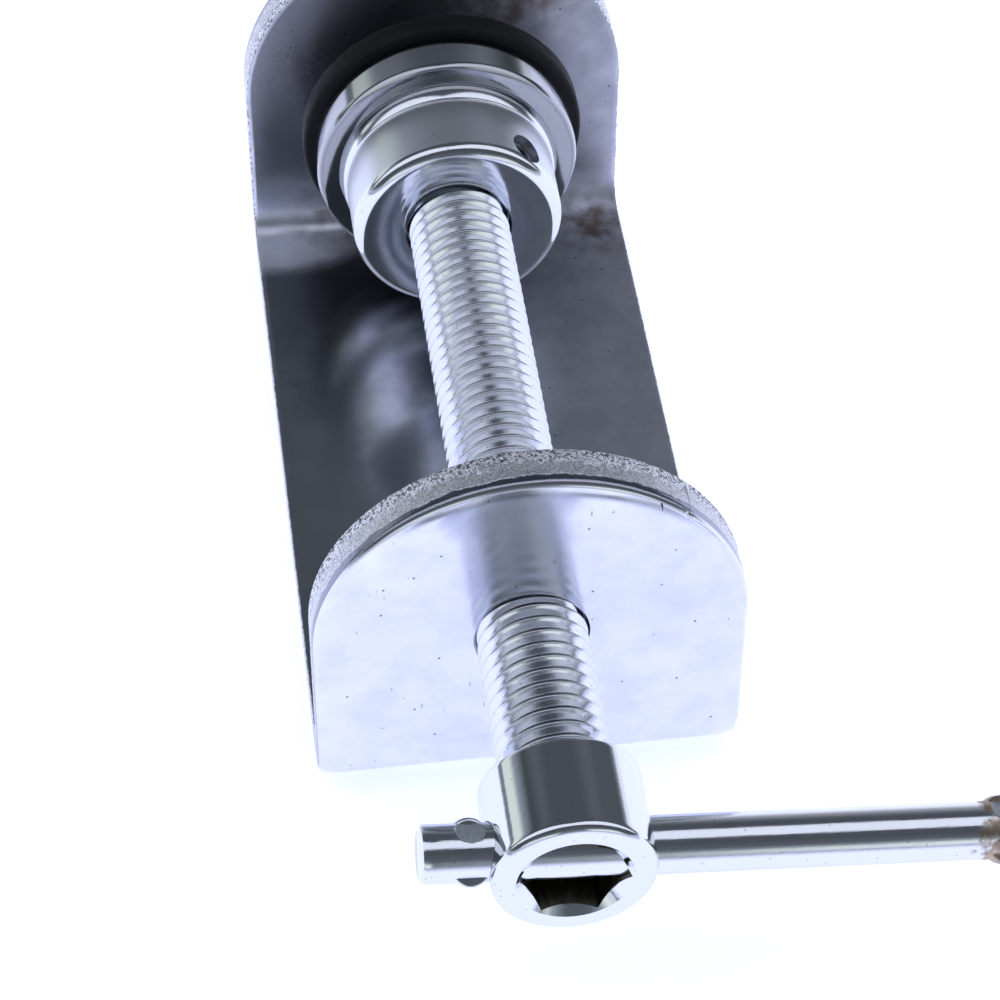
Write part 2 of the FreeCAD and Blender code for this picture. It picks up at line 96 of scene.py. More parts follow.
class ClampSizes(bpy.types.PropertyGroup):
    """Sizes of the clamp's pieces."""

    half_width: length("Half width", "Half the strip's width", BRACKET_HIGH.x)
    half_span: length("Half span", "From the middle of the web to the outside of an arm", BRACKET_HIGH.y)
    thickness: length("Thickness", "Thickness of the strip", 5 * MM)
    bend_radius: length("Bend radius", "Outer radius of each bend", 8 * MM)
    axis_height: length("Axis height", "Height of the screw's axis above the web's underside", 25.25 * MM)
    bore_radius: length("Bore radius", "Radius of the tapped hole at the thread's crests", 6.0 * MM)
    head_radius: length("Head radius", "Radius of the screw's head", 8.5 * MM)
    head_front: length("Head front", "Y of the head's front face", -79.25 * MM)
    head_back: length("Head back", "Y of the head's back face", -67.75 * MM)
    crest_radius: length("Crest radius", "Radius of the thread's crests", 5.95 * MM)
    root_radius: length("Root radius", "Radius of the thread's roots", 5.0 * MM)
    pitch: length("Pitch", "Distance from one thread crest to the next", 1.75 * MM)
    thread_end: length("Thread end", "Y where the thread ends inside the pad's mouth", 17.35 * MM)
    bar_radius: length("Bar radius", "Radius of the tommy bar", 3 * MM)
    bar_length: length("Bar length", "Length of the tommy bar", 65 * MM)
    bar_y: length("Bar y", "Y of the tommy bar's axis", -75.25 * MM)
    segments: IntProperty(
        name="Segments", description="Faces round a turned piece", default=192, min=24, subtype="UNSIGNED"
    )


class ClampColours(bpy.types.PropertyGroup):
    """Colours of the clamp's finishes."""

    strip: colour("Strip plating", "Bright plating on the outside of the strip", "#E0E2E7")
    clouded: colour("Clouded plating", "The same where it is thinner", "#D5D8E3")
    inside: colour("Inside plating", "Unpolished plating on the inside of the strip", "#C8CAD2")
    turned: colour("Turned plating", "Bright plating over turned and drawn steel", "#DBDEE4")
    rubber: colour("Rubber", "Black nitrile rubber", "#08090B")
    floor: colour("Floor", "White paper floor", "#FBFBFC")
    glow: colour("Glow", "Cold light that comes through the paper", "#B6BDE6")


# ---------------------------------------------------------------------------------------------- modelling


def clear_selection():
    """Leaves edit mode and selects nothing, the CAD nodes included."""
    if bpy.context.object and bpy.context.object.mode != "OBJECT":
        bpy.ops.object.mode_set(mode="OBJECT")
    bpy.ops.object.select_all(action="DESELECT")


def pick(obj):
    """Makes obj the only selected and active object."""
    clear_selection()
    obj.select_set(True)
    bpy.context.view_layer.objects.active = obj


def edit(obj, kind="VERT"):
    """Enters edit mode on obj with nothing selected."""
    pick(obj)
    bpy.ops.object.mode_set(mode="EDIT")
    bpy.ops.mesh.select_mode(type=kind)
    bpy.ops.mesh.select_all(action="DESELECT")


def select(obj, elements, test):
    """Selects, in edit mode, the "verts" or "edges" of obj for which test is true."""
    mesh = bmesh.from_edit_mesh(obj.data)
    for element in getattr(mesh, elements):
        if test(element):
            element.select_set(True)
    if elements == "verts":
        mesh.select_flush(True)
    bmesh.update_edit_mesh(obj.data)


def line(name, points):
    """An open line of edges: one vertex at the first point, extruded to each next one in edit mode."""
    clear_selection()
    bpy.ops.mesh.primitive_plane_add(size=MM)
    obj = bpy.context.object
    obj.name = obj.data.name = name
    edit(obj)
    bpy.ops.mesh.select_all(action="SELECT")
    bpy.ops.mesh.merge(type="CENTER")
    bpy.ops.transform.translate(value=points[0])
    for a, b in zip(points, points[1:]):
        bpy.ops.mesh.extrude_region_move(TRANSFORM_OT_translate={"value": Vector(b) - Vector(a)})
    return obj


def tidy(obj):
    """Merges doubles and turns every face outwards."""
    edit(obj)
    bpy.ops.mesh.select_all(action="SELECT")
    bpy.ops.mesh.remove_doubles(threshold=DOUBLE)
    bpy.ops.mesh.normals_make_consistent(inside=False)
    clear_selection()
    return obj


def turned(name, rings, segments, height=0.0):
    """A solid turned about a line along Y at that height: rings are (y, radius) along its section."""
    obj = line(name, [(r, y, height) for y, r in rings])
    bpy.ops.mesh.select_all(action="SELECT")
    centre = (0, 0, height)
    bpy.ops.mesh.spin(steps=segments, angle=2 * math.pi, center=centre, axis=(0, 1, 0), use_auto_merge=True)
    return tidy(obj)


def cylinder(place_at, radius, depth, vertices=96, rotation=(0, 0, 0)):
    """A cylinder, or with 6 vertices a hexagon, turned by rotation and then placed by a matrix."""
    clear_selection()
    bpy.ops.mesh.primitive_cylinder_add(vertices=vertices, radius=radius, depth=depth, rotation=rotation)
    return place(bpy.context.object, place_at)


def modify(obj, kind, **settings):
    """Adds a modifier with its settings and applies it."""
    pick(obj)
    modifier = obj.modifiers.new(kind.title(), kind)
    for key, value in settings.items():
        setattr(modifier, key, value)
    bpy.ops.object.modifier_apply(modifier=modifier.name)
    return obj


def round_edges(obj, width, segments, sharper_than=30):
    """Rounds the edges of obj that turn by more degrees than sharper_than."""
    limit = {"limit_method": "ANGLE", "angle_limit": math.radians(sharper_than)}
    return modify(obj, "BEVEL", width=width, segments=segments, **limit)


def boolean(obj, tool, operation="DIFFERENCE"):
    """Cuts obj with tool, or joins them, and removes tool."""
    modify(obj, "BOOLEAN", object=tool, operation=operation, solver="EXACT")
    bpy.data.objects.remove(tool)
    return obj


def place(obj, matrix):
    """Moves obj by matrix, with its place in its mesh."""
    pick(obj)
    obj.matrix_world = matrix @ obj.matrix_world
    bpy.ops.object.transform_apply(location=True, rotation=True, scale=True)
    return obj


def along_axis(s, y, turn=0.0):
    """The place of something at y on the screw's axis, turned about it."""
    return Matrix.Translation((0, y, s.axis_height)) @ Matrix.Rotation(turn, 4, "Y")


def in_grub_hole(s, out, own_axis):
    """The place of something in the pad's radial hole, that far out and with its own axis along the hole."""
    outwards = Vector((math.sin(GRUB_ANGLE), 0, math.cos(GRUB_ANGLE)))
    facing = outwards.to_track_quat(own_axis, "Z" if own_axis == "Y" else "Y").to_matrix().to_4x4()
    return Matrix.Translation(Vector((0, GRUB_Y, s.axis_height)) + outwards * out) @ facing


def off_axis(co, s):
    """How far a point is from the screw's axis."""
    return math.hypot(co.x, co.z - s.axis_height)


def paint(obj, index, test):
    """Gives the material at index to every face of which all corners pass test."""
    for face in obj.data.polygons:
        if all(test(obj.data.vertices[i].co) for i in face.vertices):
            face.material_index = index


def finish_piece(obj, body, node, materials, smooth_under=30):
    """Shades a piece smooth under that many degrees, gives it its materials and ties it to the frame.

    The first material goes all over it, until paint puts another one on some faces.
    """
    pick(obj)
    bpy.ops.object.shade_smooth_by_angle(angle=math.radians(smooth_under))
    obj.data.materials.clear()
    for material in materials:
        obj.data.materials.append(material)
    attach(obj, body)
    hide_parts(node)


# ---------------------------------------------------------------------------------------------- materials

STAIN = linear("#6A503A")  # brown stain where the plating is thin
COLOUR_A, COLOUR_B = 6, 7  # a Mix node's inputs where it mixes colours
VALUE_A, VALUE_B = 2, 3  # and where it mixes values


def per_mm(count):
    """A texture's scale for that many features in a millimetre of Object coordinates."""
    return count * 1000.0


def add_node(tree, kind, inputs=(), ramp=None, **settings):
    """Adds a node with its settings and links, and returns it.

    Inputs go by name or in their order. Each is a value, a socket, or a node that stands for its first live
    output. ramp holds a colour ramp's stops, a position and a shade each.
    """
    node = tree.nodes.new("ShaderNode" + kind)
    for key, value in settings.items():
        setattr(node, key, value)
    for key, value in inputs.items() if isinstance(inputs, dict) else enumerate(inputs):
        if isinstance(value, bpy.types.Node):
            value = next(socket for socket in value.outputs if socket.enabled)
        if isinstance(value, bpy.types.NodeSocket):
            tree.links.new(value, node.inputs[key])
        else:
            node.inputs[key].default_value = value
    if ramp:
        stops = node.color_ramp.elements
        while len(stops) < len(ramp):
            stops.new(1.0)
        for stop, (position, shade) in zip(stops, ramp):
            stop.position = position
            stop.color = (shade, shade, shade, 1) if isinstance(shade, (int, float)) else shade
    return node


def new_material(name):
    """An empty node material, its own add_node, and the Object coordinates that its patterns lie on."""
    material = bpy.data.materials.new(name)
    material.use_nodes = True
    material.node_tree.nodes.clear()
    add = partial(add_node, material.node_tree)
    return material, add, add("TexCoord").outputs["Object"]


def spot(add, where, centre, half):
    """A soft ellipsoid, 1 in its middle and 0 outside: its centre and half axes in mm."""
    middle = [-c / h for c, h in zip(centre, half)]
    size = [per_mm(1 / h) for h in half]
    from_centre = add("Mapping", {"Vector": where, "Location": middle, "Scale": size})
    distance = add("VectorMath", (from_centre,), operation="LENGTH")
    return add("MapRange", (distance, 0.35, 1.0, 1.0, 0.0), interpolation_type="SMOOTHSTEP")


def plated_strip(name, bright, clouded, rough, inside):
    """Cold rolled strip under bright plating: a little cloudy and waved, with pits and handling scratches.

    rough is the roughness where the plating is clear and where it is clouded. The inside was never polished:
    it is duller to the right and up the arms, and stained at the far bend, where bending cracked the plating
    and left a frosting on it. The frosting there and on the web beside it is rougher, and is also painted
    lighter as a painted highlight.
    """
    material, add, where = new_material(name)
    # Clouds of thinner plating, 6 mm across.
    cloud = add("TexNoise", {"Vector": where, "Scale": per_mm(1 / 6), "Detail": 5.0, "Roughness": 0.6})
    clouds = add("MapRange", (cloud, 0.38, 0.62))
    tone = add("Mix", {"Factor": clouds, COLOUR_A: bright, COLOUR_B: clouded}, data_type="RGBA")
    dullness = add("MapRange", (cloud, 0.3, 0.75, *rough))

    # Pits 0.15 mm across, a few in each square centimetre.
    pits = add("TexVoronoi", {"Vector": where, "Scale": per_mm(0.42)})
    marks = add("MapRange", (pits, 0.035, 0.065, 1.0, 0.0))
    if inside:
        axes = add("SeparateXYZ", (where,)).outputs
        rightwards = (axes["X"], -6 * MM, 8 * MM, 0.0, 0.23)
        across = add("MapRange", rightwards, interpolation_type="SMOOTHSTEP")
        upwards = add("MapRange", (axes["Z"], 20 * MM, 38 * MM, 0.0, 0.14))
        dullness = add("Math", (dullness, add("Math", (across, upwards))))
        uneven = add("MapRange", (cloud, 0.35, 0.6, 0.6, 1.0))
        # The far bend, where bending left a frosting on the plating, and a patch of frosting on the web
        # beside it: both are rougher, and painted lighter as a painted highlight.
        for centre, half, extra in (((0, 41, 6), (90, 6, 5), 0.28), ((-20, 36.5, 5), (12, 5, 6), 0.5)):
            frost_and_highlight = add("Math", (spot(add, where, centre, half), uneven), operation="MULTIPLY")
            dullness = add("Math", (dullness, add("Math", (frost_and_highlight, extra), operation="MULTIPLY")))
            frost_highlight = {"Factor": frost_and_highlight, COLOUR_A: tone, COLOUR_B: linear("#E4E7F4")}
            tone = add("Mix", frost_highlight, data_type="RGBA")
        # Brown stain in three patches, each broken up by noise of 3 mm.
        break_up = add("TexNoise", {"Vector": where, "Scale": per_mm(1 / 3), "Detail": 3.0})
        broken = add("MapRange", (break_up, 0.36, 0.62, 0.0, 0.75))
        for centre, half in (((-13, 40, 7), (7, 5, 6)), ((20, 37, 5), (8, 8, 6)), ((9, 43, 40), (12, 5, 9))):
            stain = add("Math", (spot(add, where, centre, half), broken), operation="MULTIPLY")
            tone = add("Mix", {"Factor": stain, COLOUR_A: tone, COLOUR_B: STAIN}, data_type="RGBA")
    else:
        # Scratches 3 mm long, where hands and spanners went.
        stroke = {"Rotation": (0, math.radians(24), 0), "Scale": (1.0, 1.0, 0.12)}
        drawn = add("Mapping", {"Vector": where, **stroke})
        hairs = add("TexNoise", {"Vector": drawn, "Scale": per_mm(1 / 0.35), "Detail": 1.0})
        area = add("TexNoise", {"Vector": where, "Scale": per_mm(1 / 11), "Detail": 1.0})
        scratched = (add("MapRange", (hairs, 0.735, 0.76)), add("MapRange", (area, 0.53, 0.6)))
        scratches = add("Math", scratched, operation="MULTIPLY")
        marks = add("Math", (marks, scratches), operation="MAXIMUM")
    tone = add("Mix", {"Factor": marks, COLOUR_A: tone, COLOUR_B: linear("#3A3838")}, data_type="RGBA")

    # Slow waves of the rolled strip, 9 mm long, and the fine peel of the plating.
    waves = add("TexNoise", {"Vector": where, "Scale": per_mm(1 / 9)})
    surface = add("Bump", {"Distance": 0.04 * MM, "Height": waves})
    peel = add("TexNoise", {"Vector": where, "Scale": per_mm(1 / 0.45)})
    surface = add("Bump", {"Distance": 0.002 * MM, "Height": peel, "Normal": surface})
    inputs = {"Base Color": tone, "Metallic": 1.0, "Roughness": dullness, "Normal": surface}
    add("OutputMaterial", {"Surface": add("BsdfPrincipled", inputs)})
    return material


def sheared_edge(plating):
    """The strip's punched edge under plating: slid smooth by the punch, then broken, then torn at the burr.

    The attribute shear_depth says how many mm a point lies under the strip's outer face.
    """
    material, add, where = new_material("bright_plated_sheared_edge")
    depth = add("Attribute", attribute_name="shear_depth", attribute_type="GEOMETRY").outputs["Fac"]
    wander = add("TexNoise", {"Vector": where, "Scale": per_mm(1 / 1.6), "Detail": 3.0})
    broken_from = add("Math", (depth, add("MapRange", (wander, 0.3, 0.7, -0.2, 0.2))))
    broken = add("MapRange", (broken_from, 1.45, 1.65))
    jagged = add("TexNoise", {"Vector": where, "Scale": per_mm(1 / 0.8), "Detail": 3.0, "Roughness": 0.7})
    torn_from = add("Math", (depth, add("MapRange", (jagged, 0.3, 0.7, -1.0, 1.0))))
    torn = add("MapRange", (torn_from, 3.2, 3.6))
    # Broken steel in grains of 0.22 mm, torn steel in grains of 0.4 mm, and die lines 0.16 mm apart.
    fine = add("TexNoise", {"Vector": where, "Scale": per_mm(1 / 0.22), "Detail": 2.0, "Roughness": 0.6})
    grain = add("TexNoise", {"Vector": where, "Scale": per_mm(1 / 0.4), "Detail": 2.0, "Roughness": 0.6})
    streaks = add("TexNoise", {"Vector": where, "Scale": per_mm(1 / 0.16)})
    faint = add("Math", (streaks, 0.06), operation="MULTIPLY")
    granular = add("Math", (fine, 0.55), operation="MULTIPLY")
    slid_or_broken = add("Mix", {"Factor": broken, VALUE_A: faint, VALUE_B: granular})
    coarse = add("Math", (grain, 1.9), operation="MULTIPLY")
    height = add("Mix", {"Factor": torn, VALUE_A: slid_or_broken, VALUE_B: coarse})
    # Painted shade darkens the torn hollows and the gaps between the broken grains, and the slid band is
    # burnished smooth and painted darker, a painted shade line under the rounded edge.
    hollows = add("MapRange", (grain, 0.4, 0.5, 0.85, 0.0))
    gaps = add("MapRange", (fine, 0.4, 0.6, 0.5, 0.0))
    between = add("Math", (broken, gaps), operation="MULTIPLY")
    painted_hollow_shade = add("Mix", {"Factor": torn, VALUE_A: between, VALUE_B: hollows})
    tone = add("Mix", {"Factor": painted_hollow_shade, COLOUR_A: plating, COLOUR_B: linear("#33353F")}, data_type="RGBA")
    band = (add("MapRange", (broken, 0.0, 1.0, 0.9, 0.0)), add("MapRange", (depth, 0.5, 0.7)))
    slid = add("Math", band, operation="MULTIPLY")
    tone = add("Mix", {"Factor": slid, COLOUR_A: tone, COLOUR_B: linear("#7C7F90")}, data_type="RGBA")
    smooth = add("MapRange", (depth, 0.7, 1.3, 0.13, 0.25))
    rough = add("Mix", {"Factor": broken, VALUE_A: smooth, VALUE_B: 0.3})
    rough = add("Mix", {"Factor": torn, VALUE_A: rough, VALUE_B: 0.16})
    surface = add("Bump", {"Distance": 0.2 * MM, "Height": height})
    inputs = {"Base Color": tone, "Metallic": 1.0, "Roughness": rough, "Normal": surface}
    add("OutputMaterial", {"Surface": add("BsdfPrincipled", inputs)})
    return material


def plated_turning(name, plating, rough, bands=None, dull=None, thread=None, stained_from=None):
    """Turned or drawn steel under bright plating: mirror-like, with fine pits.

    bands are painted shade: the shades that the metal is painted at places along y in mm. dull is a stretch
    along y in mm and the roughness that it adds. thread is the height of a thread's axis and the radius of
    its roots, which are painted darker as painted shade. stained_from is the distance along the tommy bar's
    axis from which it is stained.
    """
    material, add, where = new_material(name)
    haze = add("TexNoise", {"Vector": where, "Scale": per_mm(1 / 2), "Detail": 4.0, "Roughness": 0.6})
    pits = add("TexVoronoi", {"Vector": where, "Scale": per_mm(0.9)})
    pitted = add("MapRange", (pits, 0.05, 0.09, 0.8, 0.0))
    tone = add("Mix", {"Factor": pitted, COLOUR_A: plating, COLOUR_B: linear("#6E7078")}, data_type="RGBA")
    dullness = add("MapRange", (haze, 0.3, 0.7, rough * 0.8, rough * 1.25))
    peel = add("TexNoise", {"Vector": where, "Scale": per_mm(1 / 0.8)})
    surface = add("Bump", {"Distance": 0.003 * MM, "Height": peel})
    y = add("SeparateXYZ", (where,)).outputs["Y"]
    if bands:
        first, last = bands[0][0], bands[-1][0]
        along = add("MapRange", (y, first * MM, last * MM))
        stops = [((at - first) / (last - first), shade) for at, shade in bands]
        shaded = {"Factor": 1.0, COLOUR_A: tone, COLOUR_B: add("ValToRGB", (along,), ramp=stops)}
        tone = add("Mix", shaded, data_type="RGBA", blend_type="MULTIPLY")
    if dull:
        start, end, extra = dull
        onwards = add("MapRange", (y, start * MM, (start + 0.1) * MM))
        until = add("MapRange", (y, end * MM, (end + 0.1) * MM, extra, 0.0))
        dullness = add("Math", (dullness, add("Math", (onwards, until), operation="MULTIPLY")))
    if thread:
        height, root = thread
        # The thread's roots are painted darker in patches, as painted shade.
        centred = add("Mapping", {"Vector": where, "Location": (0, 0, -height), "Scale": (1.0, 0.0, 1.0)})
        radius = add("VectorMath", (centred,), operation="LENGTH")
        deep = add("MapRange", (radius, root - 0.02 * MM, root + 0.1 * MM, 1.0, 0.0))
        patchy = add("MapRange", (haze, 0.3, 0.6, 0.65, 1.0))
        painted_hollow_shade = add("Math", (deep, patchy), operation="MULTIPLY")
        tone = add("Mix", {"Factor": painted_hollow_shade, COLOUR_A: tone, COLOUR_B: linear("#2C2D35")}, data_type="RGBA")
        # Scuffs of 0.4 mm from the tapped hole that it runs in.
        scuffs = add("TexNoise", {"Vector": where, "Scale": per_mm(1 / 0.4), "Detail": 3.0, "Roughness": 0.7})
        surface = add("Bump", {"Distance": 0.002 * MM, "Height": scuffs, "Normal": surface})
    if stained_from:
        along = add("VectorMath", (where, BAR_AXIS), operation="DOT_PRODUCT")
        edge = add("TexNoise", {"Vector": where, "Scale": per_mm(1 / 1.5), "Detail": 4.0})
        ragged = add("Math", (along, add("MapRange", (edge, 0.3, 0.7, -1.4 * MM, 1.4 * MM))))
        stained = add("MapRange", (ragged, stained_from - 0.5 * MM, stained_from + 0.6 * MM, 0.0, 0.9))
        mottled = add("MapRange", (haze, 0.35, 0.65))
        browns = {"Factor": mottled, COLOUR_A: STAIN, COLOUR_B: linear("#B9A58C")}
        brown = add("Mix", browns, data_type="RGBA")
        tone = add("Mix", {"Factor": stained, COLOUR_A: tone, COLOUR_B: brown}, data_type="RGBA")
        dullness = add("Math", (dullness, add("Math", (stained, 0.35), operation="MULTIPLY")))
        # Lines of the drawing die, 0.2 mm apart and drawn out along the bar.
        drawn = add("Mapping", {"Vector": where, "Rotation": (0, -TILT, 0), "Scale": (0.02, 1.0, 1.0)})
        lines = add("TexNoise", {"Vector": drawn, "Scale": per_mm(5), "Detail": 3.0, "Roughness": 0.6})
        surface = add("Bump", {"Distance": 0.006 * MM, "Height": lines, "Normal": surface})
    inputs = {"Base Color": tone, "Metallic": 1.0, "Roughness": dullness, "Normal": surface}
    add("OutputMaterial", {"Surface": add("BsdfPrincipled", inputs)})
    return material


def grained_steel(name, first, second, grain_mm, rough, bump_mm, drawn=(1.0, 1.0, 1.0)):
    """Bare or thinly plated steel with a grain: two colours, roughness and bump all follow one noise.

    drawn squeezes the grain along each axis, so that it lies in lines.
    """
    material, add, where = new_material(name)
    stroke = add("Mapping", {"Vector": where, "Scale": drawn})
    size = {"Scale": per_mm(1 / grain_mm), "Detail": 3.0, "Roughness": 0.6}
    grain = add("TexNoise", {"Vector": stroke, **size})
    two = {COLOUR_A: linear(first), COLOUR_B: linear(second)}
    inputs = {
        "Base Color": add("Mix", {"Factor": grain, **two}, data_type="RGBA"),
        "Metallic": 1.0,
        "Roughness": add("MapRange", (grain, 0.3, 0.7, *rough)),
        "Normal": add("Bump", {"Distance": bump_mm * MM, "Height": grain}),
    }
    add("OutputMaterial", {"Surface": add("BsdfPrincipled", inputs)})
    return material


def moulded_rubber(rubber):
    """Pressed nitrile rubber: black and dull with a fine grain."""
    material, add, where = new_material("pressed_nitrile_rubber")
    bloom = add("TexNoise", {"Vector": where, "Scale": per_mm(1 / 4), "Detail": 3.0})
    patches = add("TexNoise", {"Vector": where, "Scale": per_mm(1)})
    grain = add("TexNoise", {"Vector": where, "Scale": per_mm(3), "Detail": 3.0})
    bloomed = {"Factor": bloom, COLOUR_A: rubber, COLOUR_B: linear("#101114")}
    inputs = {
        "Base Color": add("Mix", bloomed, data_type="RGBA"),
        "Specular IOR Level": 0.2,
        "Roughness": add("MapRange", (patches, 0.3, 0.7, 0.5, 0.65)),
        "Normal": add("Bump", {"Distance": 0.02 * MM, "Height": grain}),
    }
    add("OutputMaterial", {"Surface": add("BsdfPrincipled", inputs)})
    return material


def white_paper(paper_colour, glow_colour):
    """A white paper sweep that glows a little, as paper lit through does, so that shadows on it stay faint.

    The light falls off towards its front and its left end.
    """
    material, add, where = new_material("white_paper_sweep")
    axes = add("SeparateXYZ", (where,)).outputs
    forward = add("MapRange", (axes["Y"], -0.55, -0.15))
    fall_off = add("ValToRGB", (forward,), ramp=[(0.0, 0.4), (0.6, 0.55), (0.9, 0.86), (1.0, 1.0)])
    leftwards = (axes["X"], -0.85, -0.5, 0.35, 1.0)
    left_end = add("MapRange", leftwards, interpolation_type="SMOOTHSTEP")
    lit = {"Factor": add("Math", (fall_off, left_end), operation="MULTIPLY"), COLOUR_A: (0, 0, 0, 1)}
    tooth = add("TexNoise", {"Vector": where, "Scale": per_mm(1), "Detail": 3.0})
    inputs = {
        "Base Color": add("Mix", {**lit, COLOUR_B: paper_colour}, data_type="RGBA"),
        "Roughness": 0.9,
        "Specular IOR Level": 0.0,
        "Emission Color": add("Mix", {**lit, COLOUR_B: glow_colour}, data_type="RGBA"),
        "Emission Strength": 1.0,
        "Normal": add("Bump", {"Distance": 0.004 * MM, "Height": tooth}),
    }
    add("OutputMaterial", {"Surface": add("BsdfPrincipled", inputs)})
    return material


# ---------------------------------------------------------------------------------------------- operators


class CLAMP_OT_bracket(bpy.types.Operator):
    """Models the bracket from flat strip: extruded, bent round both corners and rounded at its ends"""

    bl_idname = "clamp.bracket"
    bl_label = "Bracket"

    # How far the punch drew the outer face in: mm from the strip's edge, and mm drawn in.
    DRAW_IN = ((0.0, 0.28), (0.65, 0.16), (1.05, 0.09), (1.55, 0.03), (2.25, 0.0))
    FURTHER_IN = (3.25, 4.75, 8.25, 13.25, 18.25)  # mm from the edge, the other lines of vertices
    ROW_GAP = 0.5 * MM  # about how far apart the rows of vertices along the strip lie
    # The edges' roundings: the depths in mm that the edge lies between, the width in mm and the steps.
    OUTER_EDGE, INNER_EDGE = (-0.1, 0.45, 0.75, 8), (4.9, 5.1, 0.16, 2)
    CROSSING = 3.9 * MM  # an edge of the mesh longer than this runs across the punched edge
    SHEARED_FROM, SHEARED_TO = 0.6, 4.95  # mm deep, where the punched edge is rough at all
    TORN_FROM, TORN_OVER = 2.9, 1.2  # mm deep, where the steel tore, and in how many mm it gets worst
    LEAST_TORN = 0.12  # roughness of the rest, as a share of the worst
    COUNTERSINK = 0.22 * MM
    RIM = 0.2 * MM  # nearer than this to the outline is the punched edge
    INSIDE = 4.8 * MM  # deeper than this is the inside, which is dull
    DULL_FROM = 7 * MM  # from this far behind the near arm's outside, so that arm itself is bright

    def execute(self, context):
        s, colours = context.scene.clamp_sizes, context.scene.clamp_colours
        obj = self.folded_sheet(s)
        even = {"use_even_offset": True, "use_quality_normals": True}
        modify(obj, "SOLIDIFY", thickness=s.thickness, offset=-1.0, **even)

        # The punch drew the outer face in along the outline, rounded its edge and left a burr's edge inside.
        for vertex in obj.data.vertices:
            depth, outwards = self.skin(vertex.co, s)
            if depth < 2 * NEAR:
                vertex.co -= outwards * self.drawn_in(self.outline_gap(vertex.co, s) / MM) * MM
        edit(obj, "EDGE")
        for low, high, width, steps in (self.OUTER_EDGE, self.INNER_EDGE):
            bpy.ops.mesh.select_all(action="DESELECT")
            select(
                obj,
                "edges",
                lambda e: self.on_outline(e, s)
                and all(low * MM < self.skin(v.co, s)[0] < high * MM for v in e.verts),
            )
            bpy.ops.mesh.bevel(offset=width * MM, segments=steps, profile=0.5, affect="EDGES")

        # Rows across the punched edge, torn where the steel broke.
        bpy.ops.mesh.select_all(action="DESELECT")
        select(obj, "edges", lambda e: e.calc_length() > self.CROSSING and self.on_outline(e, s))
        bpy.ops.mesh.subdivide(number_cuts=15)
        clear_selection()
        depths = [self.skin(vertex.co, s)[0] / MM for vertex in obj.data.vertices]
        obj.data.attributes.new("shear_depth", "FLOAT", "POINT").data.foreach_set("value", depths)
        torn = obj.vertex_groups.new(name="torn")
        for vertex, depth in zip(obj.data.vertices, depths):
            if self.outline_gap(vertex.co, s) < 2 * NEAR and self.SHEARED_FROM < depth < self.SHEARED_TO:
                weight = min(1.0, max(self.LEAST_TORN, (depth - self.TORN_FROM) / self.TORN_OVER))
                torn.add([vertex.index], weight, "REPLACE")
        grain = bpy.data.textures.new("broken_steel", "CLOUDS")
        grain.noise_scale = 0.9 * MM
        grain.noise_depth = 1
        tear = {"texture": grain, "texture_coords": "LOCAL", "vertex_group": "torn"}
        modify(obj, "DISPLACE", strength=0.2 * MM, mid_level=0.95, **tear)

        # The tapped hole, countersunk at each mouth.
        front, back = -s.half_span, -s.half_span + s.thickness
        wide = s.bore_radius + self.COUNTERSINK
        rings = [(front - PAST, 0), (front - PAST, wide), (front, wide)]
        rings += [(front + self.COUNTERSINK, s.bore_radius), (back - self.COUNTERSINK, s.bore_radius)]
        rings += [(back, wide), (back + PAST, wide), (back + PAST, 0)]
        boolean(obj, turned("drill", rings, 96, s.axis_height))

        finishes = [
            plated_strip("bright_plated_rolled_strip", colours.strip, colours.clouded, (0.12, 0.22), False),
            sheared_edge(colours.strip),
            plated_strip("dulled_plated_rolled_strip", colours.inside, linear("#B2B5BF"), (0.16, 0.25), True),
        ]
        finish_piece(obj, "bracket", "c_bracket", finishes)
        dull_from = self.DULL_FROM - s.half_span
        paint(obj, 2, lambda co: self.skin(co, s)[0] > self.INSIDE and co.y > dull_from)
        paint(obj, 1, lambda co: self.outline_gap(co, s) < self.RIM)
        return {"FINISHED"}

    def folded_sheet(self, s):
        """The strip's outside as a sheet, its normals outwards: web, both bends and both round-ended arms."""
        gaps = [gap for gap, _ in self.DRAW_IN] + list(self.FURTHER_IN)
        right = [s.half_width - gap * MM for gap in gaps]
        row = sorted([0, *right, *(-x for x in right)])
        obj = line("punched_bracket", [(x, 0, 0) for x in row])
        web_end = s.half_span - s.bend_radius

        # One half of it, from the middle of the web.
        bpy.ops.mesh.select_all(action="SELECT")
        bpy.ops.mesh.extrude_region_move(TRANSFORM_OT_translate={"value": (0, web_end, 0)})
        bend = {"center": (0, web_end, s.bend_radius), "axis": (1, 0, 0)}
        bpy.ops.mesh.spin(steps=16, angle=-math.pi / 2, use_auto_merge=False, **bend)
        straight = s.axis_height - s.bend_radius
        bpy.ops.mesh.extrude_region_move(TRANSFORM_OT_translate={"value": (0, 0, straight)})
        # The round end is the half row turned about the screw's axis.
        bpy.ops.mesh.select_all(action="DESELECT")
        select(obj, "verts", lambda v: abs(v.co.z - s.axis_height) < NEAR and v.co.x > -NEAR)
        end = {"center": (0, s.half_span, s.axis_height), "axis": (0, 1, 0)}
        bpy.ops.mesh.spin(steps=288, angle=math.pi, use_auto_merge=False, **end)
        # Rows across the web and across the arm, which lies along Z.
        for axis, low, high in ((1, 0, web_end), (2, s.bend_radius, s.axis_height)):
            ends = {round(low / MM, 2), round(high / MM, 2)}
            edit(obj, "EDGE")
            select(obj, "edges", lambda e: {round(v.co[axis] / MM, 2) for v in e.verts} == ends)
            bpy.ops.mesh.subdivide(number_cuts=int((high - low) / self.ROW_GAP))
        tidy(obj)
        tidy(modify(obj, "MIRROR", use_axis=(False, True, False), merge_threshold=0.005 * MM))
